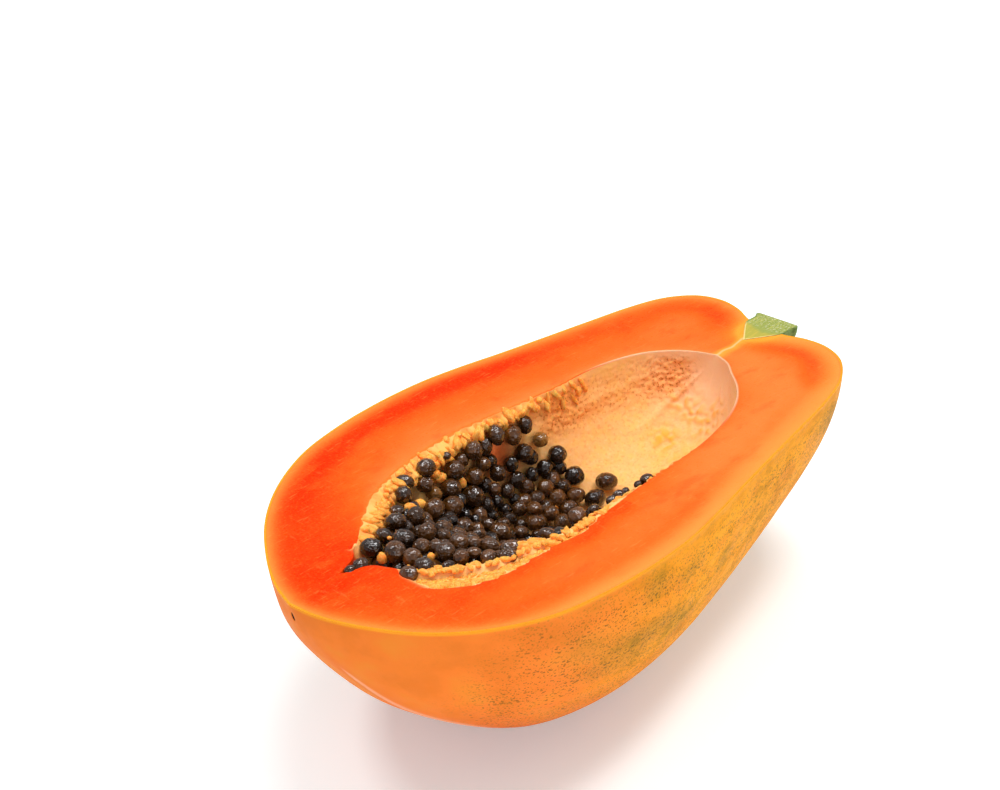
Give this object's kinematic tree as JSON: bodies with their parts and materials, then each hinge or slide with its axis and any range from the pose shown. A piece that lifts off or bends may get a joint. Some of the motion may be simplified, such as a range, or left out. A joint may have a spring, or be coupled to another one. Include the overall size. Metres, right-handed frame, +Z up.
{
  "type": "halved papaya",
  "caption": "Half a ripe papaya cut lengthwise, lying on its belly: orange flesh round a hollow part filled with dark seeds, with a cut stem stub.",
  "frame": {"origin": "under the middle of the half fruit, on the surface that it lies on", "axes": "+X along the fruit from the blossom tip to the stem, +Z up, square to the level cut face"},
  "size_m": [0.2608, 0.1592, 0.0909],
  "materials": {
    "flesh": "satin",
    "seeds": "gloss",
    "stem": "matte"
  },
  "bodies": {
    "root": {"fruit": "flesh", "seeds": "seeds", "stem": "stem"}
  },
  "joints": []
}
